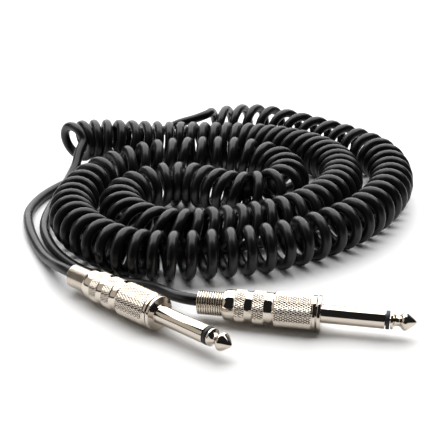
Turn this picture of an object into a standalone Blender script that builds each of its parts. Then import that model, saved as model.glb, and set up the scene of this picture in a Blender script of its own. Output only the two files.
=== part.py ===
"""Curly instrument cable with a straight 6.35 mm jack plug at each end, lying loose on a table.

Frame: metres, +Z up, the table top is z = 0. The origin is on the table under the middle of the
two plugs. Sizes below are in millimetres; MM turns them into metres.

Each plug is built in its own frame: +X runs along its axis towards the tip, and the origin is the
shoulder, where the shaft meets the flange. The barrel screws off backwards along that axis.
"""
import math

import bmesh
import bpy
import numpy as np
from mathutils import Matrix, Vector

MM = 0.001
GAP = 0.3                      # clearance kept between neighbouring pieces
SEGMENTS = 24                  # facets round every turned piece

CABLE_RADIUS = 2.05

# Plug, standard 6.35 mm mono jack
SHAFT_RADIUS = 3.175
SHAFT_LENGTH = 31.75           # shoulder to the end of the tip
SLEEVE_END = 21.2
RING_WIDTH = 1.3               # black ring that parts the tip from the sleeve
COLLAR_START = SLEEVE_END + GAP + RING_WIDTH + GAP
# Collar, waist and ball of the tip: (distance from the collar's front, radius)
TIP_SHAPE = [
    (0, 3.1), (0.9, 3.1), (1.6, 2.2), (2.4, 1.75), (3.1, 1.9), (3.9, 2.7), (4.7, 3.15),
    (5.3, 3.1), (6.6, 2.4),
]
ROD_RADIUS = 1.0               # rod that carries the tip signal back through the sleeve
ROD_BORE = ROD_RADIUS + GAP
STEM_RADIUS = ROD_BORE + 0.6   # stem of the black ring, between rod and sleeve
FLANGE_RADIUS = 6.15
FLANGE_WIDTH = 1.3
BOSS_RADIUS = 4.7              # threaded boss behind the flange
BOSS_END = -8.5
AXIS_HEIGHT = FLANGE_RADIUS    # the plug lies on the rim of its flange

# Barrel, liner and strain-relief spring
BARREL_RADIUS = 6.1
BARREL_REAR_RADIUS = 5.4
BARREL_FRONT = -FLANGE_WIDTH - GAP
BARREL_REAR = -33.5
BARREL_BORE = BOSS_RADIUS + GAP
CHAMFER = 0.3
# Grip bands and necks of the barrel, front to back: (place along the axis, radius)
BARREL_STEPS = [
    (-16.0, BARREL_RADIUS), (-16.8, 5.6), (-19.1, 5.6), (-19.4, 5.8), (-23.1, 5.8),
    (-23.4, 5.45), (-25.7, 5.45), (-25.9, 5.6), (-29.5, 5.6), (-29.7, BARREL_REAR_RADIUS),
]
REAR_WALL_FRONT = -28.0        # wall that holds the flared end of the spring
SPRING_RADIUS = 4.2
SPRING_BORE = 3.4
FLARE_RADIUS = BARREL_BORE - GAP
SPRING_START = -27.0
SPRING_END = -43.3
LINER_RADIUS = BARREL_BORE - GAP
LINER_BORE = 4.4

# Terminals stacked on the rear of the boss, front to back
GROUND_RING = (BOSS_END - GAP, BOSS_END - GAP - 0.6)
WASHER = (GROUND_RING[1] - GAP, GROUND_RING[1] - GAP - 0.8)
TIP_LUG = (WASHER[1] - GAP, WASHER[1] - GAP - 0.5)
RIVET = (TIP_LUG[1] - GAP, TIP_LUG[1] - GAP - 0.7)
RIVET_RADIUS = 1.4
TERMINAL_RADIUS = 4.0
LUG_RADIUS = 2.9
STRIP_WIDTH = 3.0
STRIP_THICKNESS = 0.5
STRIP_HEIGHT = -3.45           # height of the ground strip's middle beside the plug axis
CLAMP = (-22.0, -26.0)         # wings that grip the cable jacket
CLAMP_BORE = CABLE_RADIUS + GAP
CLAMP_OPENING = 110            # degrees left open at the top
TONGUE_HEIGHT = 2.0
TONGUE_WIDTH = 2.2
TONGUE_END = -17.8
SOLDER_START = -15.6
SOLDER_END = -17.4
CORE_RADIUS = 0.7
SHIELD_RADIUS = 0.6

# Where each plug lies: shoulder in plan, and heading of the tip in degrees from +X
PLUGS = {
    "plug_1": ((-25.16, -5.17), -40.67),
    "plug_2": ((29.54, -5.15), -10.94),
}

# Cable
JACKET_END = -24.0             # the jacket ends inside the barrel
# Inside a plug the lead runs straight back and rests against the top of the spring's bore:
# (place along the axis, height above the axis)
STRAIGHT = ((JACKET_END, 0.0), (-31.0, 0.2), (-38.0, 0.6), (-45.0, 0.8))
COIL_RADIUS = 9.4              # outside of the curly section
COIL_TURNS = 123
TURNS_PER_POINT = 3            # turns of the curl between two points of the coil route
SPAN_STEPS = 16                # curve steps between two points of a route

# Centre line of the curly section: x, y, z. It winds inwards in a flat spiral and comes back out.
COIL_ROUTE = [
    (-10.5, 170.5, 9.4), (11.5, 176.5, 9.4), (32.5, 164.5, 9.4), (51.5, 148.5, 9.4),
    (65.5, 130.5, 9.4), (68.5, 108, 9.4), (63.5, 87.5, 9.4), (52.5, 68.5, 9.4),
    (37.5, 53.5, 9.4), (19, 41.5, 9.4), (-1, 35, 9.4), (-22, 32, 9.4), (-40, 36, 9.4),
    (-54.5, 48.5, 9.4), (-63.5, 66.5, 9.4), (-63.5, 86, 9.4), (-56, 107, 9.4),
    (-39, 124.5, 9.4), (-20, 130.5, 9.4), (1, 130.5, 9.4), (20, 119.5, 9.4), (21.5, 98.5, 9.4),
    (4, 89.5, 9.4), (-11.5, 97, 9.4), (-29, 99.5, 9.4), (-44, 84, 9.4), (-40.5, 64, 9.4),
    (-24.5, 52.5, 9.4), (-7.5, 54, 9.4), (9, 59, 9.4), (24.5, 68, 9.4), (37.5, 82, 9.4),
    (45.5, 98.5, 9.4), (46.5, 117, 9.4), (39, 133, 9.4), (26, 143.5, 9.4), (12, 148.5, 9.4),
    (-2.5, 150.5, 9.4), (-18.5, 150.5, 9.5), (-35, 148.5, 10.6), (-51.5, 142, 13.6),
    (-67, 140, 14.1), (-80, 132, 14.1),
]

# Straight lead from plug_1: round the left side, under the raised end of the curly section, then
# up between its two back rows to the start of the curl
LEAD_A_ROUTE = [
    (-63.2, 29, 6.2), (-66.8, 35.2, 4.6), (-70.4, 42, 3.2), (-74, 49.6, 2.3),
    (-77.5, 58, 2.1), (-80.7, 67, 2.1), (-83.2, 76.5, 2.1), (-84.6, 86, 2.1), (-83.6, 96, 2.1),
    (-80.5, 105.5, 2.1), (-75.5, 114.5, 2.1), (-69, 123, 2.1), (-62.5, 132, 2.1),
    (-57, 142, 2.1), (-52.5, 152, 2.1), (-46.5, 161, 2.8), (-38.5, 165.5, 6.2),
    (-30.5, 166.6, 11.2), (-21.5, 167, 15), (-11, 170.2, 16.5),
]

# Straight lead from the raised end of the curly section down to the table and round to plug_2
LEAD_B_ROUTE = [
    (-68.7, 133.2, 18.8), (-67.8, 128.2, 14), (-68.8, 122.3, 10.2), (-70.4, 115.5, 7.2),
    (-72.6, 107.5, 4.8), (-74.8, 99, 3), (-76.3, 89.5, 2.2), (-76.7, 79.5, 2.1),
    (-75.3, 68.5, 2.1), (-71.8, 57.5, 2.1), (-66.6, 47, 2.1), (-60, 38, 2.1),
    (-52, 30.8, 2.1), (-43, 26, 2.3), (-34.5, 21.5, 3.2), (-27.5, 15, 5), (-21.3, 7.3, 6.6),
]


def clear_scene():
    for obj in list(bpy.data.objects):
        bpy.data.objects.remove(obj, do_unlink=True)


def make_material(name, colour, roughness, metallic):
    material = bpy.data.materials.new(name)
    material.use_nodes = True
    shader = material.node_tree.nodes["Principled BSDF"]
    shader.inputs["Base Color"].default_value = (*colour, 1.0)
    shader.inputs["Roughness"].default_value = roughness
    shader.inputs["Metallic"].default_value = metallic
    return material


def add_mesh(name, bm, material, parent=None):
    """Turn a bmesh drawn in millimetres into an object of its own."""
    bmesh.ops.recalc_face_normals(bm, faces=bm.faces)
    bmesh.ops.scale(bm, vec=(MM, MM, MM), verts=bm.verts)
    mesh = bpy.data.meshes.new(name)
    bm.to_mesh(mesh)
    bm.free()
    mesh.shade_smooth()
    mesh.set_sharp_from_angle(angle=math.radians(35))
    mesh.materials.append(material)
    obj = bpy.data.objects.new(name, mesh)
    bpy.context.collection.objects.link(obj)
    obj.parent = parent
    return obj


def turned(outline, closed=True):
    """Spin an outline of (place along axis, radius) points about the plug axis."""
    bm = bmesh.new()
    verts = [bm.verts.new((along, 0.0, -radius)) for along, radius in outline]
    edges = [bm.edges.new(pair) for pair in zip(verts, verts[1:])]
    if closed:
        edges.append(bm.edges.new((verts[-1], verts[0])))
    bmesh.ops.spin(bm, geom=verts + edges, cent=(0, 0, 0), axis=(1, 0, 0),
                   angle=math.tau, steps=SEGMENTS, use_merge=True)
    bmesh.ops.remove_doubles(bm, verts=bm.verts, dist=0.0005)
    return bm


def tube(start, end, bore, radius):
    """Turned tube between two places along the axis."""
    return turned([(start, bore), (start, radius), (end, radius), (end, bore)])


def prism(outline, width):
    """Outline of (along, height) points, extruded to a width that is centred on the axis."""
    bm = bmesh.new()
    face = bm.faces.new([bm.verts.new((along, -width / 2, height)) for along, height in outline])
    moved = bmesh.ops.extrude_face_region(bm, geom=[face])
    verts = [item for item in moved["geom"] if isinstance(item, bmesh.types.BMVert)]
    bmesh.ops.translate(bm, verts=verts, vec=(0, width, 0))
    return bm


def channel(start, end, bore, radius, opening):
    """Length of tube that is open at the top over an angle, like a cable clamp's wings."""
    half = math.radians(360 - opening) / 2
    steps = 14
    angles = [-half + 2 * half * step / steps for step in range(steps + 1)]
    ring = [(radius * math.sin(a), -radius * math.cos(a)) for a in angles]
    ring += [(bore * math.sin(a), -bore * math.cos(a)) for a in reversed(angles)]
    bm = bmesh.new()
    face = bm.faces.new([bm.verts.new((start, y, z)) for y, z in ring])
    moved = bmesh.ops.extrude_face_region(bm, geom=[face])
    verts = [item for item in moved["geom"] if isinstance(item, bmesh.types.BMVert)]
    bmesh.ops.translate(bm, verts=verts, vec=(end - start, 0, 0))
    return bm


def union(obj, other):
    """Join another object's solid to this one and keep only the result."""
    cut = obj.modifiers.new("join", "BOOLEAN")
    cut.operation = "UNION"
    cut.solver = "EXACT"
    cut.object = other
    other.hide_render = True
    other.display_type = "WIRE"
    other.name = obj.name + "_guide"


def smooth_curve(points, per_span=SPAN_STEPS):
    """Natural cubic spline through the points, evenly spaced in its parameter."""
    knots = np.array(points, dtype=float)
    count = len(knots)
    matrix = np.eye(count)
    right = np.zeros_like(knots)
    for i in range(1, count - 1):
        matrix[i, i - 1:i + 2] = (1, 4, 1)
        right[i] = 6 * (knots[i - 1] - 2 * knots[i] + knots[i + 1])
    bend = np.linalg.solve(matrix, right)
    places = np.linspace(0, count - 1, (count - 1) * per_span + 1)
    span = np.minimum(places.astype(int), count - 2)
    b = (places - span)[:, None]
    a = 1 - b
    return (a * knots[span] + b * knots[span + 1]
            + ((a ** 3 - a) * bend[span] + (b ** 3 - b) * bend[span + 1]) / 6)


def even_points(curve, spacing):
    """Points read from a curve at an even spacing along it."""
    travelled = np.concatenate([[0], np.cumsum(np.linalg.norm(np.diff(curve, axis=0), axis=1))])
    count = max(2, round(travelled[-1] / spacing) + 1)
    places = np.linspace(0, travelled[-1], count)
    return np.stack([np.interp(places, travelled, curve[:, i]) for i in range(3)], axis=1)


def add_cable(name, points, radius, resolution, material, parent=None):
    """Round cable solid: a curve with a bevel and filled caps through the points."""
    curve = bpy.data.curves.new(name, "CURVE")
    curve.dimensions = "3D"
    curve.bevel_depth = radius * MM
    curve.bevel_resolution = resolution
    curve.use_fill_caps = True
    spline = curve.splines.new("POLY")
    spline.points.add(len(points) - 1)
    for point, place in zip(spline.points, points):
        point.co = (*(Vector(place) * MM), 1.0)
    curve.materials.append(material)
    obj = bpy.data.objects.new(name, curve)
    bpy.context.collection.objects.link(obj)
    obj.parent = parent
    return obj


def plug_point(plug, along, height=0.0):
    """World place, in millimetres, of a point on a plug's axis."""
    (x, y), heading = PLUGS[plug]
    turn = math.radians(heading)
    return (x + along * math.cos(turn), y + along * math.sin(turn), AXIS_HEIGHT + height)


def add_plug_frame(plug):
    """Empty on the plug's axis at its shoulder, which every piece of the plug hangs from."""
    frame = bpy.data.objects.new(plug, None)
    frame.location = Vector(plug_point(plug, 0)) * MM
    frame.rotation_euler = (0, 0, math.radians(PLUGS[plug][1]))
    bpy.context.collection.objects.link(frame)
    return frame


def add_tip_contact(plug, frame, nickel):
    """Ball and neck of the plug with the rod that runs back to its rivet."""
    outline = [
        (RIVET[1], 0), (RIVET[1], RIVET_RADIUS), (RIVET[0], RIVET_RADIUS), (RIVET[0], ROD_RADIUS),
        (COLLAR_START, ROD_RADIUS),
    ]
    outline += [(COLLAR_START + along, radius) for along, radius in TIP_SHAPE]
    outline += [(SHAFT_LENGTH - 0.9, 1.4), (SHAFT_LENGTH - 0.25, 0.8), (SHAFT_LENGTH, 0)]
    add_mesh(plug + "_tip_contact", turned(outline, closed=False), nickel, frame)


def add_tip_insulator(plug, frame, plastic):
    ring_start = SLEEVE_END + GAP
    ring_end = ring_start + RING_WIDTH
    outline = [
        (BOSS_END, ROD_BORE), (BOSS_END, STEM_RADIUS), (ring_start, STEM_RADIUS),
        (ring_start, SHAFT_RADIUS), (ring_end, SHAFT_RADIUS), (ring_end, ROD_BORE),
    ]
    add_mesh(plug + "_tip_insulator", turned(outline), plastic, frame)


def add_sleeve(plug, frame, nickel):
    """Shaft, flange and threaded boss in one turned piece."""
    bore = STEM_RADIUS + GAP
    outline = [
        (BOSS_END, bore), (BOSS_END, BOSS_RADIUS), (-FLANGE_WIDTH, BOSS_RADIUS),
        (-FLANGE_WIDTH, FLANGE_RADIUS - CHAMFER), (-FLANGE_WIDTH + CHAMFER, FLANGE_RADIUS),
        (-CHAMFER, FLANGE_RADIUS), (0, FLANGE_RADIUS - CHAMFER), (0, SHAFT_RADIUS),
        (SLEEVE_END, SHAFT_RADIUS), (SLEEVE_END, bore),
    ]
    add_mesh(plug + "_sleeve", turned(outline), nickel, frame)


def add_terminals(plug, frame, brass, plastic):
    """Ground ring with its strip and clamp, insulating washer and tip solder lug."""
    hoop = tube(*GROUND_RING, STEM_RADIUS + GAP, TERMINAL_RADIUS)
    ring = add_mesh(plug + "_ground_terminal", hoop, brass, frame)
    top = STRIP_HEIGHT + STRIP_THICKNESS / 2
    low = STRIP_HEIGHT - STRIP_THICKNESS / 2
    lift = -CLAMP_BORE - STRIP_THICKNESS
    strip = prism([
        (GROUND_RING[0], low), (GROUND_RING[0], top), (-17.5, top), (-19.5, lift + 0.35),
        (CLAMP[1], lift + 0.35), (CLAMP[1], lift - 0.15), (-19.7, lift - 0.15), (-17.7, low),
    ], STRIP_WIDTH)
    union(ring, add_mesh(plug + "_strip", strip, brass, frame))
    wings = channel(*CLAMP, CLAMP_BORE, CLAMP_BORE + STRIP_THICKNESS, CLAMP_OPENING)
    union(ring, add_mesh(plug + "_wings", wings, brass, frame))
    add_mesh(plug + "_terminal_washer", tube(*WASHER, ROD_BORE, LUG_RADIUS), plastic, frame)
    lug = add_mesh(plug + "_tip_terminal", tube(*TIP_LUG, ROD_BORE, LUG_RADIUS), brass, frame)
    bottom = TONGUE_HEIGHT - STRIP_THICKNESS / 2
    tongue = prism([
        (TIP_LUG[0], bottom), (TIP_LUG[0], bottom + STRIP_THICKNESS),
        (TONGUE_END, bottom + STRIP_THICKNESS), (TONGUE_END, bottom),
    ], TONGUE_WIDTH)
    union(lug, add_mesh(plug + "_tongue", tongue, brass, frame))


def add_liner(plug, frame, plastic):
    """Insulating tube between the terminals and the barrel."""
    start = BOSS_END - GAP
    end = SPRING_START + GAP
    add_mesh(plug + "_liner", tube(start, end, LINER_BORE, LINER_RADIUS), plastic, frame)


def add_barrel(plug, frame, nickel):
    """Screw-on barrel: a stepped grip outside, one bore inside and a wall at the rear."""
    rim = BARREL_FRONT
    end = BARREL_REAR
    outline = [
        (rim, BARREL_BORE), (rim, BARREL_RADIUS - CHAMFER), (rim - CHAMFER, BARREL_RADIUS),
        *BARREL_STEPS,
        (end + 1.4, BARREL_REAR_RADIUS), (end, BARREL_REAR_RADIUS - 2 * CHAMFER),
        (end, SPRING_RADIUS + GAP), (REAR_WALL_FRONT, SPRING_RADIUS + GAP),
        (REAR_WALL_FRONT, BARREL_BORE),
    ]
    add_mesh(plug + "_barrel", turned(outline), nickel, frame)


def add_spring(plug, frame, steel):
    """Strain relief: a close-wound spring, kept as its envelope, flared inside the barrel."""
    flare_end = REAR_WALL_FRONT + GAP
    outline = [
        (SPRING_START, SPRING_BORE), (SPRING_START, FLARE_RADIUS), (flare_end, FLARE_RADIUS),
        (flare_end, SPRING_RADIUS), (SPRING_END, SPRING_RADIUS), (SPRING_END, SPRING_BORE),
    ]
    add_mesh(plug + "_strain_relief_spring", turned(outline), steel, frame)


def add_wires(plug, frame, red, copper, solder):
    """Insulated core to the tip lug, braided shield to the ground strip, and their solder."""
    start = JACKET_END + GAP
    lug_top = TONGUE_HEIGHT + STRIP_THICKNESS / 2
    strip_top = STRIP_HEIGHT + STRIP_THICKNESS / 2
    core = [(start, 0.3), (-22, 0.9), (-20.2, 2.2), (-18.7, 3.1), (SOLDER_END - GAP, 3.1)]
    add_wire(plug + "_core_wire", core, CORE_RADIUS, red, frame)
    shield = [(start, -1.3), (-21.5, -1.5), (-19.8, -1.8), (SOLDER_END - GAP, -2.3)]
    add_wire(plug + "_shield_pigtail", shield, SHIELD_RADIUS, copper, frame)
    add_solder(plug + "_tip_solder", lug_top, solder, frame)
    add_solder(plug + "_ground_solder", strip_top, solder, frame)


def add_wire(name, places, radius, material, frame):
    curve = smooth_curve([(along, 0, height) for along, height in places], per_span=3)
    add_cable(name, curve, radius, 1, material, frame)


def add_solder(name, base, material, frame):
    """Bead of solder standing just clear of the metal it wets."""
    middle = (SOLDER_START + SOLDER_END) / 2
    bm = bmesh.new()
    bmesh.ops.create_uvsphere(bm, u_segments=10, v_segments=6, radius=1.0)
    half_length = (SOLDER_START - SOLDER_END) / 2
    bmesh.ops.scale(bm, vec=(half_length, 0.9, 0.6), verts=bm.verts)
    bmesh.ops.translate(bm, vec=(middle, 0, base + GAP + 0.6), verts=bm.verts)
    add_mesh(name, bm, material, frame)


def add_plug(plug, finish):
    frame = add_plug_frame(plug)
    add_tip_contact(plug, frame, finish["nickel"])
    add_tip_insulator(plug, frame, finish["black_plastic"])
    add_sleeve(plug, frame, finish["nickel"])
    add_terminals(plug, frame, finish["tinned_brass"], finish["black_plastic"])
    add_liner(plug, frame, finish["black_plastic"])
    add_barrel(plug, frame, finish["nickel"])
    add_spring(plug, frame, finish["nickel"])
    add_wires(plug, frame, finish["red_insulation"], finish["copper"], finish["solder"])


def add_cable_run(jacket):
    """The two straight leads and the curly section between them, end to end."""
    spacing = 2.5 * 2 * CABLE_RADIUS
    lead_a = [plug_point("plug_1", *place) for place in STRAIGHT] + LEAD_A_ROUTE
    lead_b = LEAD_B_ROUTE + [plug_point("plug_2", *place) for place in reversed(STRAIGHT)]
    add_cable("lead_a", even_points(smooth_curve(lead_a), spacing), CABLE_RADIUS, 2, jacket)
    add_cable("lead_b", even_points(smooth_curve(lead_b), spacing), CABLE_RADIUS, 2, jacket)
    coil = smooth_curve(COIL_ROUTE)
    steps = round(COIL_TURNS * SPAN_STEPS / TURNS_PER_POINT)
    coil = coil[:steps + 1]
    add_cable("curly_section", even_points(coil, COIL_RADIUS), COIL_RADIUS, 3, jacket)


def main():
    clear_scene()
    finish = {
        "nickel": make_material("nickel", (0.80, 0.78, 0.74), 0.15, 1.0),
        "tinned_brass": make_material("tinned_brass", (0.72, 0.68, 0.58), 0.3, 1.0),
        "black_plastic": make_material("black_plastic", (0.02, 0.02, 0.02), 0.35, 0.0),
        "jacket": make_material("jacket", (0.018, 0.018, 0.02), 0.42, 0.0),
        "red_insulation": make_material("red_insulation", (0.55, 0.03, 0.03), 0.4, 0.0),
        "copper": make_material("copper", (0.80, 0.42, 0.25), 0.35, 1.0),
        "solder": make_material("solder", (0.62, 0.62, 0.60), 0.3, 1.0),
    }
    for plug in PLUGS:
        add_plug(plug, finish)
    add_cable_run(finish["jacket"])


main()
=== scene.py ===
"""Looks of the curly instrument cable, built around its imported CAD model.

The cord is one real helix with its two leads. Barrels, springs, shafts and tips are turned, wound
and knurled meshes in place of their plain CAD solids. The cable's lengths are in millimetres, and
MM turns them into metres. The stage and its lights are in metres.
"""
import math

import bpy
import numpy as np
from mathutils import Matrix, Vector


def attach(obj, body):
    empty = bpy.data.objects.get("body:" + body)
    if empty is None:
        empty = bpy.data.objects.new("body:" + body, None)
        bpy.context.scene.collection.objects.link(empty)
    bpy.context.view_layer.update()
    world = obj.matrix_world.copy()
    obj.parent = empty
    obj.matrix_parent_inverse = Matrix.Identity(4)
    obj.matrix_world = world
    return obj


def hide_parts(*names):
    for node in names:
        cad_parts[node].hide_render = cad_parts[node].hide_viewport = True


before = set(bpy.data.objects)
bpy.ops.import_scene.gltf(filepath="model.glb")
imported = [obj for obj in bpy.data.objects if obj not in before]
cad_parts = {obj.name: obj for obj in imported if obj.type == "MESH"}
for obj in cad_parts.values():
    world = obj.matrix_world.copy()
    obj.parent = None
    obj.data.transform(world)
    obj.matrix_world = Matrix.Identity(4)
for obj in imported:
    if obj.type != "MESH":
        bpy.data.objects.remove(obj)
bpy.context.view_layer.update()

MM = 0.001

# Camera: place in millimetres, downward tilt in degrees and lens that frame the cable
CAMERA_PLACE = (-3.5, -324.0, 188.0)
CAMERA_TILT = 24.96
CAMERA_LENS = 87.0

# Plugs, as in the CAD model: shoulder in plan, and heading of the tip in degrees from +X
PLUGS = {
    "plug_1": ((-25.16, -5.17), -40.67),
    "plug_2": ((29.54, -5.15), -10.94),
}
AXIS_HEIGHT = 6.15
SHAFT_RADIUS = 3.175

# Places along a plug's axis: zero at the shoulder, the tip at the positive end
TIP_END = 31.75
BOSS_REAR = -8.5
SPRING_START = -27.0
SPRING_END = -43.3

# Cord
CORD_RADIUS = 2.05
COIL_RADIUS = 9.4
HELIX_RADIUS = COIL_RADIUS - CORD_RADIUS
FIRST_TURN = 0.0
LAST_TURN = 124.17
TURNS_PER_POINT = 3
STEPS_PER_TURN = 24
CURL_ENDS = 4                  # points of the curl that each lead shares with it
CORD_SIDES = 20

# Where the cord runs inside and just behind a plug: along its axis, and height above it
STRAIGHT = ((-24.0, 0.0), (-31.0, 0.2), (-38.0, 0.6), (-45.0, 0.8))

# Centre line of the curl, three turns from each point to the next. These points were worked out
# and fitted by a program, and not chosen by hand.
COIL_ROUTE = [
    (-10.5, 170.5, 9.4), (11.5, 176.5, 9.4), (32.5, 164.5, 9.4), (51.5, 148.5, 9.4),
    (65.5, 130.5, 9.4), (68.5, 108, 9.4), (63.5, 87.5, 9.4), (52.5, 68.5, 9.4),
    (37.5, 53.5, 9.4), (19, 41.5, 9.4), (-1, 35, 9.4), (-22, 32, 9.4), (-40, 36, 9.4),
    (-54.5, 48.5, 9.4), (-63.5, 66.5, 9.4), (-63.5, 86, 9.4), (-56, 107, 9.4),
    (-39, 124.5, 9.4), (-20, 130.5, 9.4), (1, 130.5, 9.4), (20, 119.5, 9.4), (21.5, 98.5, 9.4),
    (4, 89.5, 9.4), (-11.5, 97, 9.4), (-29, 99.5, 9.4), (-44, 84, 9.4), (-40.5, 64, 9.4),
    (-24.5, 52.5, 9.4), (-7.5, 54, 9.4), (9, 59, 9.4), (24.5, 68, 9.4), (37.5, 82, 9.4),
    (45.5, 98.5, 9.4), (46.5, 117, 9.4), (39, 133, 9.4), (26, 143.5, 9.4), (12, 148.5, 9.4),
    (-2.5, 150.5, 9.4), (-18.5, 150.5, 9.5), (-35, 148.5, 10.6), (-51.5, 142, 13.6),
    (-67, 140, 14.1), (-80, 132, 14.1),
]

# Straight leads: from plug_1 to the start of the curl, and from its end to plug_2
LEAD_A_ROUTE = [
    (-63.2, 29, 6.2), (-66.8, 35.2, 4.6), (-70.4, 42, 3.2), (-74, 49.6, 2.3),
    (-77.5, 58, 2.1), (-80.7, 67, 2.1), (-83.2, 76.5, 2.1), (-84.6, 86, 2.1), (-83.6, 96, 2.1),
    (-80.5, 105.5, 2.1), (-75.5, 114.5, 2.1), (-69, 123, 2.1), (-62.5, 132, 2.1),
    (-57, 142, 2.1), (-52.5, 152, 2.1), (-46.5, 161, 2.8), (-38.5, 165.5, 6.2),
    (-30.5, 166.6, 10.2), (-24.5, 167, 12.9), (-18.5, 167, 14.7), (-14.5, 167.6, 15.9),
]
LEAD_B_ROUTE = [
    (-67.8, 128.2, 14), (-68.8, 122.3, 10.2), (-70.4, 115.5, 7.2),
    (-72.6, 107.5, 4.8), (-74.8, 99, 3), (-76.3, 89.5, 2.2), (-76.7, 79.5, 2.1),
    (-75.3, 68.5, 2.1), (-71.8, 57.5, 2.1), (-66.6, 47, 2.1), (-60, 38, 2.1),
    (-52, 30.8, 2.1), (-43, 26, 2.3), (-34.5, 21.5, 3.2), (-27.5, 15, 5), (-21.3, 7.3, 6.6),
]


# ---------------------------------------------------------------- curves

def smooth_curve(points, knots, places):
    """Natural cubic spline through points at the given knots, read at the given places."""
    values = np.array(points, dtype=float)
    knots = np.array(knots, dtype=float)
    gaps = np.diff(knots)
    slopes = np.diff(values, axis=0) / gaps[:, None]
    count = len(values)
    matrix = np.eye(count)
    right = np.zeros_like(values)
    for i in range(1, count - 1):
        matrix[i, i - 1:i + 2] = (gaps[i - 1], 2 * (gaps[i - 1] + gaps[i]), gaps[i])
        right[i] = 6 * (slopes[i] - slopes[i - 1])
    bend = np.linalg.solve(matrix, right)
    span = np.clip(np.searchsorted(knots, places, side="right") - 1, 0, count - 2)
    gap = gaps[span][:, None]
    b = ((places - knots[span]) / gaps[span])[:, None]
    a = 1 - b
    curl = ((a ** 3 - a) * bend[span] + (b ** 3 - b) * bend[span + 1]) * gap ** 2 / 6
    return a * values[span] + b * values[span + 1] + curl


def distances(points):
    """How far along a polyline each of its points is."""
    steps = np.linalg.norm(np.diff(np.array(points, dtype=float), axis=0), axis=1)
    return np.concatenate([[0], np.cumsum(steps)])


def smooth_lead(points, spacing=1.5):
    """Curve through a lead's points, in steps of about the spacing."""
    knots = distances(points)
    places = np.linspace(0, knots[-1], round(knots[-1] / spacing) + 1)
    return smooth_curve(points, knots, places)


def plug_point(plug, along, height=0.0):
    """Place beside a plug's axis, in millimetres."""
    (x, y), heading = PLUGS[plug]
    turn = math.radians(heading)
    return (x + along * math.cos(turn), y + along * math.sin(turn), AXIS_HEIGHT + height)


# How the rings lean along the coil, in millimetres: (turn, shift of a ring's left side, shift of
# its middle away from its top). Most of these rows were fitted by a program, and not chosen by
# hand.
RING_LEAN = [
    (0, 4.5, 0), (1, 4.5, 0), (2, 4, 0), (3, 2, 0), (4, 0.5, 0), (6, 1.5, 0), (8, 1, 0.5),
    (10, -0.5, 0), (12, -0.5, 0.5), (14, 0, 0), (17, -0.5, 0.5), (20, -1, 1), (22, -1, 1),
    (25, 0, 1), (30, 0, 1), (33, -0.5, 0.5), (36, -0.5, 1.5), (39, -0.5, 2.5), (42, -0.5, 2.5),
    (46, -1.5, 1), (48, -0.5, 1), (50, 1.5, 1), (52, 0, 2), (54, 1, 1), (56, -1, -0.5), (58, -2, 1),
    (60, 0, 2), (62, -0.5, 1.5), (64, -1.5, 0.5), (66, 1.5, -0.5), (68, -0.5, 0),
    (73, -0.5, 0.5), (79, 1, 0), (82, 1.5, 1), (84, -1, 2.5), (86, -0.5, 2.5), (88, 1, 1),
    (90, -0.5, 1), (92, -2, 1), (94, -1, 1), (98, 1, -0.5), (104, 2.5, -1), (107, 2.5, -1),
    (110, 0.5, 0), (114, 0.5, 1.5), (118, -0.5, 0), (120, -1.5, -0.5), (122, -2.5, 0),
    (124, -3, 0),
]


def helix(first, last):
    """Left-handed curl round the coil's centre line, between two counts of turns."""
    count = round((last - first) * STEPS_PER_TURN)
    turns = np.linspace(first, last, count + 1)
    knots = np.arange(len(COIL_ROUTE)) * TURNS_PER_POINT
    centre = smooth_curve(COIL_ROUTE, knots, turns)
    ahead = smooth_curve(COIL_ROUTE, knots, turns + 0.01) - centre
    ahead /= np.linalg.norm(ahead, axis=1)[:, None]
    left = np.stack([-ahead[:, 1], ahead[:, 0], np.zeros(len(turns))], axis=1)
    left /= np.linalg.norm(left, axis=1)[:, None]
    up = np.cross(ahead, left)
    angle = math.pi / 2 - math.tau * turns
    turn, sideways, upright = zip(*RING_LEAN)
    lean = np.interp(turns, turn, sideways) * np.cos(angle)
    lean += np.interp(turns, turn, upright) * (np.sin(angle) - 1)
    ring = np.cos(angle)[:, None] * left + np.sin(angle)[:, None] * up
    return centre + HELIX_RADIUS * ring + lean[:, None] * ahead


def cord_path():
    """Whole centre line of the cord: lead, curl, lead."""
    curl = helix(FIRST_TURN, LAST_TURN)
    into = [plug_point("plug_1", *place) for place in STRAIGHT] + LEAD_A_ROUTE
    lead_a = smooth_lead(into + list(curl[:CURL_ENDS]))
    out = [plug_point("plug_2", *place) for place in reversed(STRAIGHT)]
    lead_b = smooth_lead(list(curl[-CURL_ENDS:]) + LEAD_B_ROUTE + out)
    return np.concatenate([lead_a[:-1], curl[CURL_ENDS - 1:-CURL_ENDS], lead_b])


# ---------------------------------------------------------------- meshes

def new_object(name, verts, faces, material, smooth_angle):
    """Smooth-shaded mesh object, with edges sharper than an angle in degrees kept sharp."""
    mesh = bpy.data.meshes.new(name)
    mesh.from_pydata([tuple(v) for v in verts], [], faces)
    mesh.validate()
    mesh.shade_smooth()
    mesh.set_sharp_from_angle(angle=math.radians(smooth_angle))
    mesh.materials.append(material)
    obj = bpy.data.objects.new(name, mesh)
    bpy.context.scene.collection.objects.link(obj)
    return obj


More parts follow.
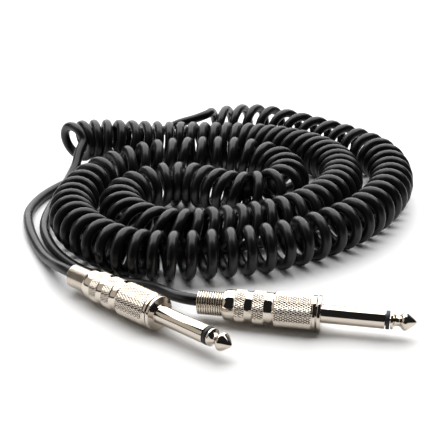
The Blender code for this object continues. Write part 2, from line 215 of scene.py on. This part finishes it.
def swept_tube(path, radius, sides):
    """Tube along a path: vertices and faces, with a flat face closing each end."""
    path = np.array(path, dtype=float)
    ahead = np.gradient(path, axis=0)
    ahead /= np.linalg.norm(ahead, axis=1)[:, None]
    side = np.cross(ahead[0], (0, 0, 1))
    side /= np.linalg.norm(side)
    frames = []
    for direction in ahead:
        side = side - direction * side.dot(direction)
        side /= np.linalg.norm(side)
        frames.append((side, np.cross(direction, side)))
    angles = np.arange(sides) * math.tau / sides
    rings = [point + radius * (np.cos(angles)[:, None] * a + np.sin(angles)[:, None] * b)
             for point, (a, b) in zip(path, frames)]
    verts = np.concatenate(rings)
    faces = []
    for ring in range(len(path) - 1):
        for k in range(sides):
            a, b = ring * sides + k, ring * sides + (k + 1) % sides
            faces.append((a, b, b + sides, a + sides))
    last = (len(path) - 1) * sides
    faces.append(tuple(reversed(range(sides))))
    faces.append(tuple(range(last, last + sides)))
    return verts, faces


def ridge(x):
    """Triangle wave: 1 at whole numbers, 0 half way between."""
    return np.abs(2 * (x - np.floor(x)) - 1)


def crease(first, second):
    """Rank of a quad's diagonal: level ones come first, and of those the lowest."""
    return (round(abs(first - second), 6), first + second)


def turned_grid(rows, segments, relief=None):
    """Closed turned surface from rows of (along, radius, relief depth), spun about +X."""
    along = np.array([row[0] for row in rows])[:, None]
    radius = np.array([row[1] for row in rows])[:, None]
    depth = np.array([row[2] if len(row) > 2 else 0.0 for row in rows])[:, None]
    round_part = np.arange(segments)[None, :] / segments
    angle = round_part * math.tau
    if relief is not None:
        radius = radius - depth * relief(round_part, along)
    x = np.broadcast_to(along, (len(rows), segments))
    radius = np.broadcast_to(radius, (len(rows), segments))
    verts = np.stack([x, radius * np.sin(angle), -radius * np.cos(angle)], axis=2)
    faces = []
    for i in range(len(rows)):
        j = (i + 1) % len(rows)
        if rows[i][1] < 1e-6 and rows[j][1] < 1e-6:
            continue
        for k in range(segments):
            m = (k + 1) % segments
            a, b, c, d = (i * segments + k, i * segments + m, j * segments + m, j * segments + k)
            if depth[i, 0] > 0 and depth[j, 0] > 0:
                if crease(radius[i, k], radius[j, m]) < crease(radius[i, m], radius[j, k]):
                    faces += [(a, c, b), (a, d, c)]
                else:
                    faces += [(a, d, b), (b, d, c)]
            else:
                faces.append((a, d, c, b))
    return verts.reshape(-1, 3), faces


def place_in_plug(obj, plug, body):
    """Moves a piece drawn in its plug's own frame to the plug, and rides it on a body."""
    (x, y), heading = PLUGS[plug]
    obj.matrix_world = (Matrix.Translation(Vector((x, y, AXIS_HEIGHT)) * MM)
                        @ Matrix.Rotation(math.radians(heading), 4, "Z"))
    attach(obj, body)
    return obj


# ---------------------------------------------------------------- materials

def new_material(name, colour, roughness, metallic=0.0, **sockets):
    """Principled material; sockets are set directly on the shader."""
    material = bpy.data.materials.new(name)
    material.use_nodes = True
    tree = material.node_tree
    shader = tree.nodes["Principled BSDF"]
    shader.inputs["Base Color"].default_value = (*colour, 1.0)
    shader.inputs["Roughness"].default_value = roughness
    shader.inputs["Metallic"].default_value = metallic
    for socket, value in sockets.items():
        shader.inputs[socket.replace("_", " ")].default_value = value
    return material, tree, shader


def object_noise(tree, scale, detail=3.0, stretch=(1, 1, 1)):
    """Noise in the object's own space, which may be stretched along its axes."""
    place = tree.nodes.new("ShaderNodeTexCoord")
    mapping = tree.nodes.new("ShaderNodeMapping")
    mapping.inputs["Scale"].default_value = stretch
    noise = tree.nodes.new("ShaderNodeTexNoise")
    noise.inputs["Scale"].default_value = scale
    noise.inputs["Detail"].default_value = detail
    tree.links.new(place.outputs["Object"], mapping.inputs["Vector"])
    tree.links.new(mapping.outputs["Vector"], noise.inputs["Vector"])
    return noise.outputs["Fac"]


def ramp(tree, source, low, high):
    """Maps a 0 to 1 value to lie between two numbers or two colours."""
    if isinstance(low, tuple):
        node = tree.nodes.new("ShaderNodeMix")
        node.data_type = "RGBA"
        node.inputs[6].default_value = (*low, 1.0)
        node.inputs[7].default_value = (*high, 1.0)
        tree.links.new(source, node.inputs[0])
        return node.outputs[2]
    node = tree.nodes.new("ShaderNodeMapRange")
    node.inputs["From Min"].default_value = 0.3
    node.inputs["From Max"].default_value = 0.7
    node.inputs["To Min"].default_value = low
    node.inputs["To Max"].default_value = high
    tree.links.new(source, node.inputs["Value"])
    return node.outputs["Result"]


def bump(tree, shader, source, strength, distance):
    """Raises a shader's surface by a 0 to 1 value."""
    node = tree.nodes.new("ShaderNodeBump")
    node.inputs["Strength"].default_value = strength
    node.inputs["Distance"].default_value = distance
    tree.links.new(source, node.inputs["Height"])
    tree.links.new(node.outputs["Normal"], shader.inputs["Normal"])


def jacket_material():
    """Satin black PVC with faint mottling and a fine drawn surface."""
    material, tree, shader = new_material("jacket_pvc", (0.004, 0.004, 0.005), 0.36,
                                          Specular_IOR_Level=0.33)
    broad = object_noise(tree, 90.0, 4.0)
    tree.links.new(ramp(tree, broad, (0.0035, 0.0035, 0.004), (0.0065, 0.0065, 0.0075)),
                   shader.inputs["Base Color"])
    tree.links.new(ramp(tree, broad, 0.26, 0.35), shader.inputs["Roughness"])
    bump(tree, shader, object_noise(tree, 1400.0, 2.0), 0.12, 0.0001)
    return material


def nickel_material(name, roughness, spread, marks):
    """Nickel plate with turning marks round the plug's axis and uneven polish."""
    colour = (0.69, 0.62, 0.535)
    material, tree, shader = new_material(name, colour, roughness, 1.0)
    turning = object_noise(tree, 1.0, 3.0, stretch=(9000, 160, 160))
    patches = object_noise(tree, 260.0, 4.0)
    tree.links.new(ramp(tree, patches, roughness, roughness + spread), shader.inputs["Roughness"])
    darker = tuple(channel * 0.94 for channel in colour)
    tree.links.new(ramp(tree, patches, darker, colour), shader.inputs["Base Color"])
    bump(tree, shader, turning, marks, 0.00002)
    return material


def plastic_material(name, colour, roughness):
    """Moulded plastic with a faint mould texture."""
    material, tree, shader = new_material(name, colour, roughness)
    grain = object_noise(tree, 900.0, 3.0)
    lighter = tuple(min(1.0, channel * 1.25 + 0.002) for channel in colour)
    tree.links.new(ramp(tree, grain, colour, lighter), shader.inputs["Base Color"])
    tree.links.new(ramp(tree, grain, roughness, roughness + 0.1), shader.inputs["Roughness"])
    bump(tree, shader, grain, 0.15, 0.00003)
    return material


def metal_material(name, colour, roughness, scale):
    """Plain worked metal with tarnish in patches."""
    material, tree, shader = new_material(name, colour, roughness, 1.0)
    patches = object_noise(tree, scale, 5.0)
    tarnished = tuple(channel * 0.75 for channel in colour)
    tree.links.new(ramp(tree, patches, tarnished, colour), shader.inputs["Base Color"])
    tree.links.new(ramp(tree, patches, roughness, roughness + 0.15), shader.inputs["Roughness"])
    bump(tree, shader, object_noise(tree, scale * 6, 2.0), 0.2, 0.00004)
    return material


def make_materials():
    """Every material of the cable, by the name that the pieces use for it."""
    return {
        "jacket": jacket_material(),
        "nickel": nickel_material("nickel_polished", 0.04, 0.04, 0.15),
        "knurl": nickel_material("nickel_knurled", 0.07, 0.05, 0.05),
        "spring": nickel_material("spring_wire", 0.12, 0.08, 0.05),
        "black_plastic": plastic_material("insulator_black", (0.008, 0.008, 0.009), 0.45),
        "tinned_brass": metal_material("tinned_brass", (0.72, 0.68, 0.58), 0.28, 300.0),
        "red_insulation": plastic_material("core_red", (0.50, 0.025, 0.02), 0.35),
        "copper": metal_material("copper_strands", (0.80, 0.42, 0.25), 0.32, 500.0),
        "solder": metal_material("solder_grey", (0.60, 0.60, 0.58), 0.30, 400.0),
    }


# ---------------------------------------------------------------- cord

def add_cord(finish):
    """Whole cord as one tube, in place of its three CAD solids."""
    path = cord_path() * MM
    verts, faces = swept_tube(path, CORD_RADIUS * MM, CORD_SIDES)
    cord = new_object("cord", verts, faces, finish["jacket"], smooth_angle=50)
    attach(cord, "root")
    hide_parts("lead_a", "curly_section", "lead_b")


# ---------------------------------------------------------------- plugs

KNURLS_ROUND = 42
KNURL_STEPS = 4                # mesh steps to each knurl diamond, round and along
SEGMENTS = KNURL_STEPS * KNURLS_ROUND
KNURL_PITCH = 1.65
KNURL_DEPTH = 0.11
THREAD_PITCH = 0.75
THREAD_DEPTH = 0.35
THREAD_SEGMENTS = 96
PLAIN_SEGMENTS = 72
SPRING_WIRE = 0.4
SPRING_PITCH = 0.84


def diamonds(round_part, along):
    """Diamond knurl: two crossing families of V grooves that leave flat-topped pyramids."""
    turn = round_part * KNURLS_ROUND
    groove = np.maximum(ridge(turn + along / KNURL_PITCH), ridge(turn - along / KNURL_PITCH))
    return np.maximum(2 * groove - 1, 0)


def thread(round_part, along):
    """Single-start screw thread."""
    return ridge(along / THREAD_PITCH + round_part)


def corner(along, radius, size, start, end, steps=5):
    """Rows of a quarter-round edge about a centre, between two angles in degrees."""
    rows = []
    for step in range(steps + 1):
        turn = math.radians(start + (end - start) * step / steps)
        rows.append((along + size * math.cos(turn), radius + size * math.sin(turn)))
    return rows


def knurled_band(front, rear, radius):
    """Rows of a knurled band from its front end to its rear end."""
    step = KNURL_PITCH / KNURL_STEPS
    first = math.ceil(-front / step)
    last = math.floor(-rear / step)
    rows = [(front, radius - KNURL_DEPTH)]
    rows += [(-i * step, radius, KNURL_DEPTH) for i in range(first, last + 1)]
    rows += [(rear, radius - KNURL_DEPTH)]
    return rows


def barrel_rows():
    """Outline of the barrel from the front rim back along the grip, then inside to the front."""
    rows = corner(-2.0, 5.75, 0.35, 0, 90)
    rows += [(-2.75, 6.1), (-2.85, 6.02), (-2.95, 5.96)]
    rows += knurled_band(-3.0, -15.9, 6.1)
    rows += [(-16.05, 5.9), (-16.25, 5.72), (-16.5, 5.62), (-16.8, 5.58), (-17.2, 5.57),
             (-18.9, 5.57), (-19.05, 5.6)]
    rows += knurled_band(-19.2, -23.2, 5.8)
    rows += [(-23.3, 5.56), (-23.4, 5.48), (-23.6, 5.45), (-25.4, 5.45), (-25.6, 5.47)]
    rows += knurled_band(-25.75, -29.4, 5.64)
    rows += [(-29.5, 5.46), (-29.65, 5.4), (-29.9, 5.4), (-31.8, 5.4)]
    rows += [(-32.3, 5.36), (-32.8, 5.25), (-33.2, 5.05)]
    rows += corner(-33.2, 4.75, 0.3, 90, 180, 4)
    rows += [(-33.5, 4.5), (-28.0, 4.5), (-28.0, 5.0), (-1.65, 5.0), (-1.65, 5.7)]
    return rows


def add_barrel(plug, finish):
    """Knurled barrel, with the knurled bands in their own finish."""
    rows = barrel_rows()
    verts, faces = turned_grid(rows, SEGMENTS, diamonds)
    barrel = new_object(plug + "_barrel_shell", verts * MM, faces, finish["nickel"], smooth_angle=24)
    barrel.data.materials.append(finish["knurl"])
    knurled = [len(row) > 2 for row in rows]
    for polygon in barrel.data.polygons:
        first = polygon.vertices[0] // SEGMENTS
        if knurled[first] or knurled[polygon.vertices[2] // SEGMENTS]:
            polygon.material_index = 1
    place_in_plug(barrel, plug, plug + "_barrel_body")
    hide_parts(plug + "_barrel")


def add_spring(plug, finish):
    """Close-wound strain relief, with its last turn flared to sit behind the barrel's wall."""
    turns = (SPRING_START - SPRING_END - 2 * SPRING_WIRE) / SPRING_PITCH
    count = round(turns * 40)
    steps = np.linspace(0, turns, count + 1)
    radius = 3.8 + 0.5 * np.clip((steps - turns + 1.2) / 0.8, 0, 1)
    angle = steps * math.tau
    along = SPRING_END + SPRING_WIRE + steps * SPRING_PITCH
    path = np.stack([along, radius * np.sin(angle), -radius * np.cos(angle)], axis=1)
    verts, faces = swept_tube(path * MM, SPRING_WIRE * MM, 10)
    spring = new_object(plug + "_spring_coil", verts, faces, finish["spring"], smooth_angle=50)
    place_in_plug(spring, plug, plug + "_barrel_body")
    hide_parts(plug + "_strain_relief_spring")


def add_sleeve(plug, finish):
    """Polished shaft and flange, with the boss threaded behind it."""
    step = THREAD_PITCH / 8
    bore = 2.2
    rows = corner(21.05, 3.025, 0.15, 90, 0, 3)
    rows += [(21.2, bore), (BOSS_REAR, bore), (BOSS_REAR, 4.3)]
    rows += [(-8.4 + i * step, 4.68, THREAD_DEPTH) for i in range(int(6.6 / step))]
    rows += [(-1.6, 4.4), (-1.3, 4.4), (-1.3, 5.8)]
    rows += corner(-1.0, 5.85, 0.3, 180, 90, 5)
    rows += corner(-0.35, 5.8, 0.35, 90, 0, 6)
    rows += [(0, 3.4), (0.05, 3.24), (0.2, SHAFT_RADIUS), (10.0, SHAFT_RADIUS)]
    verts, faces = turned_grid(rows, THREAD_SEGMENTS, thread)
    sleeve = new_object(plug + "_sleeve_shaft", verts * MM, faces, finish["nickel"], smooth_angle=30)
    place_in_plug(sleeve, plug, "root")
    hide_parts(plug + "_sleeve")


def add_tip(plug, finish):
    """Collar, waist and pointed ball of the tip, with its rod to the rivet."""
    shape = [(24.2, 2.45), (24.7, 2.0), (25.3, 1.78), (25.9, 1.85), (26.4, 2.2),
             (26.9, 2.72), (27.4, 3.05), (27.9, 3.17), (28.4, 3.05), (29.0, 2.66),
             (29.8, 2.04), (30.6, 1.38), (31.2, 0.85), (31.55, 0.48), (31.72, 0.2), (TIP_END, 0.0)]
    knots = distances(shape)
    curve = smooth_curve(shape, knots, np.linspace(0, knots[-1], 60))
    rows = [(-12.3, 0.0), (-12.3, 1.2), (-12.1, 1.4), (-11.6, 1.4), (-11.6, 1.0), (23.1, 1.0),
            (23.1, 2.95), (23.2, 3.08), (23.35, 3.12), (23.75, 3.12), (23.9, 3.08), (24.0, 2.95)]
    rows += [(float(a), max(0.0, float(r))) for a, r in curve]
    verts, faces = turned_grid(rows, PLAIN_SEGMENTS)
    tip = new_object(plug + "_tip_ball", verts * MM, faces, finish["nickel"], smooth_angle=35)
    place_in_plug(tip, plug, "root")
    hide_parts(plug + "_tip_contact")


def add_ring(plug, finish):
    """Black ring between sleeve and tip, on its long stem."""
    rows = [(BOSS_REAR, 1.3), (BOSS_REAR, 1.9), (21.5, 1.9), (21.5, 3.0), (21.58, 3.12),
            (21.7, SHAFT_RADIUS), (22.6, SHAFT_RADIUS), (22.72, 3.12), (22.8, 3.0), (22.8, 1.3)]
    verts, faces = turned_grid(rows, PLAIN_SEGMENTS)
    ring = new_object(plug + "_insulator_ring", verts * MM, faces, finish["black_plastic"],
                      smooth_angle=35)
    place_in_plug(ring, plug, "root")
    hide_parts(plug + "_tip_insulator")


def finish_cad_nodes(finish):
    """Procedural finishes for the CAD pieces that stay as they are."""
    kinds = {
        "ground_terminal": "tinned_brass", "tip_terminal": "tinned_brass",
        "terminal_washer": "black_plastic", "liner": "black_plastic",
        "core_wire": "red_insulation", "shield_pigtail": "copper",
        "tip_solder": "solder", "ground_solder": "solder",
    }
    for plug in PLUGS:
        for kind, slot in kinds.items():
            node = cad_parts[plug + "_" + kind]
            node.data.materials.clear()
            node.data.materials.append(finish[slot])


# ---------------------------------------------------------------- stage, in metres

FLOOR_FRONT = -1.5
FLOOR_BACK = 1.2
FLOOR_SIDE = 4.0
SWEEP_RADIUS = 0.6
SWEEP_TOP = 3.0


def add_floor():
    """Plain white sweep: a floor that curves up behind."""
    bend = np.linspace(0, math.pi / 2, 16)
    profile = [(FLOOR_FRONT, 0), (-FLOOR_BACK, 0)]
    profile += [(FLOOR_BACK + SWEEP_RADIUS * math.sin(a), SWEEP_RADIUS - SWEEP_RADIUS * math.cos(a))
                for a in bend]
    profile += [(FLOOR_BACK + SWEEP_RADIUS, SWEEP_TOP)]
    verts = [(x, y, z) for y, z in profile for x in (-FLOOR_SIDE, FLOOR_SIDE)]
    faces = [(2 * i, 2 * i + 1, 2 * i + 3, 2 * i + 2) for i in range(len(profile) - 1)]
    material = new_material("white_sweep", (0.86, 0.86, 0.86), 0.6)[0]
    floor = new_object("white_floor", verts, faces, material, smooth_angle=40)


def add_light(name, place, target, size, power, colour=(1, 1, 1)):
    """Rectangular area light, aimed at a target; power in watts."""
    lamp = bpy.data.lights.new(name, "AREA")
    lamp.shape = "RECTANGLE"
    lamp.size, lamp.size_y = size
    lamp.energy = power
    lamp.color = colour
    obj = bpy.data.objects.new(name, lamp)
    obj.location = place
    direction = Vector(target) - Vector(place)
    obj.rotation_euler = direction.to_track_quat("-Z", "Y").to_euler()
    bpy.context.scene.collection.objects.link(obj)


def add_lights():
    """Soft light from above and behind, a warm card on the left and a faint surround."""
    add_light("top_softbox", (-0.05, 0.5, 0.8), (-0.05, 0.5, 0), (1.6, 1.0), 19.5)
    add_light("back_softbox", (0.0, 1.35, 0.6), (0, 0.3, 0), (2.0, 0.8), 13.0)
    add_light("left_card", (-1.2, -0.1, 0.6), (-0.02, 0, 0), (1.2, 0.9), 1.9, (1.0, 0.93, 0.84))
    world = bpy.data.worlds.new("studio")
    world.use_nodes = True
    world.node_tree.nodes["Background"].inputs["Color"].default_value = (0.9, 0.92, 1.0, 1.0)
    world.node_tree.nodes["Background"].inputs["Strength"].default_value = 0.02
    bpy.context.scene.world = world
    bpy.context.scene.view_settings.view_transform = "Standard"


def add_camera():
    camera = bpy.data.cameras.new("camera")
    camera.lens = CAMERA_LENS
    camera.sensor_width = 36.0
    camera.clip_start = 0.01
    obj = bpy.data.objects.new("camera", camera)
    obj.location = Vector(CAMERA_PLACE) * MM
    obj.rotation_euler = (math.radians(90 - CAMERA_TILT), 0, 0)
    bpy.context.scene.collection.objects.link(obj)
    bpy.context.scene.camera = obj


def main():
    add_camera()
    finish = make_materials()
    add_cord(finish)
    for plug in PLUGS:
        add_barrel(plug, finish)
        add_spring(plug, finish)
        add_sleeve(plug, finish)
        add_tip(plug, finish)
        add_ring(plug, finish)
    finish_cad_nodes(finish)
    add_floor()
    add_lights()


main()
